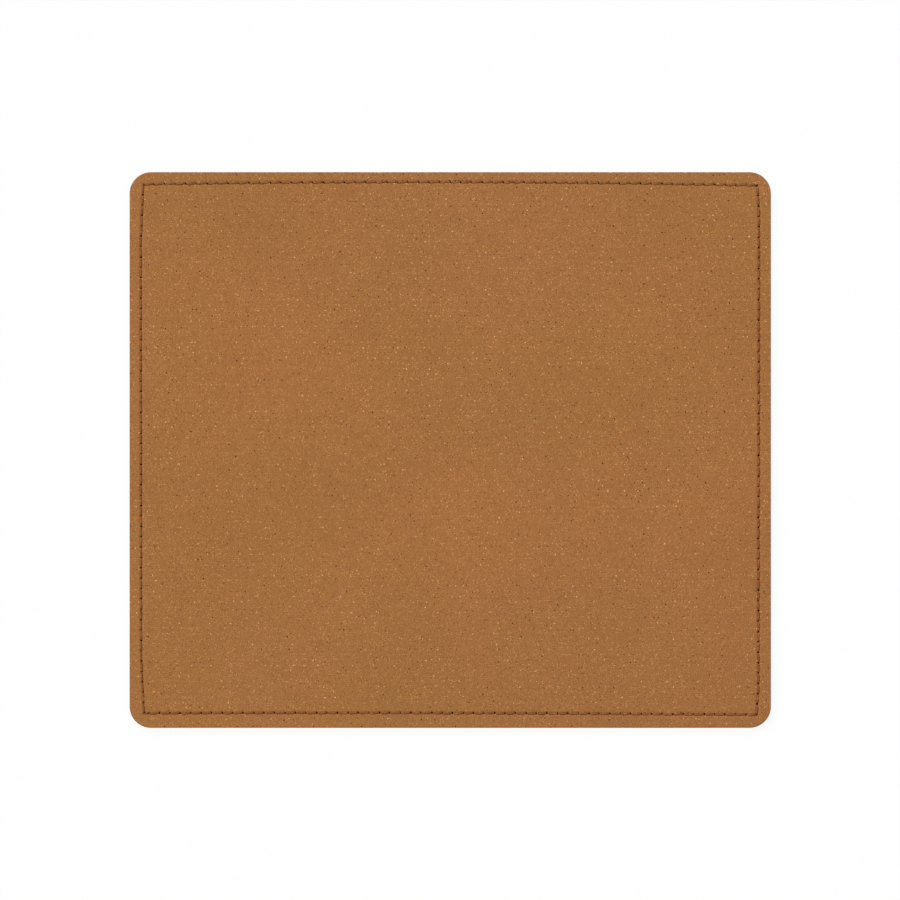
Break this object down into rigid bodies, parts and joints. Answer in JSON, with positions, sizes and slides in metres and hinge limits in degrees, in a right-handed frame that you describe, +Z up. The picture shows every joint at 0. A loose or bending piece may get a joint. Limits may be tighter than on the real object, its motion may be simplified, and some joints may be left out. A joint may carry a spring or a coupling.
{
  "type": "mouse pad",
  "caption": "Flat rectangular mouse pad with rounded corners: a tan bonded-leather top, glued and edge-stitched to a thin non-slip rubber base.",
  "frame": {"origin": "middle of the underside, on the surface that the pad rests on", "axes": "+X to the user's right along the longer side, +Y away from the user, +Z up out of the mousing surface"},
  "size_m": [0.23, 0.1994, 0.0032],
  "materials": {
    "bonded_leather": "matte tan bonded leather with fine light and dark fibre flecks",
    "base_rubber": "matte black foam rubber with a fine non-slip texture",
    "adhesive": "dried contact adhesive",
    "thread": "reddish-brown twisted sewing thread"
  },
  "bodies": {
    "root": {"leather_top": "bonded_leather", "adhesive_film": "adhesive", "base_sheet": "base_rubber", "needle_thread": "thread", "bobbin_thread": "thread"}
  },
  "joints": []
}
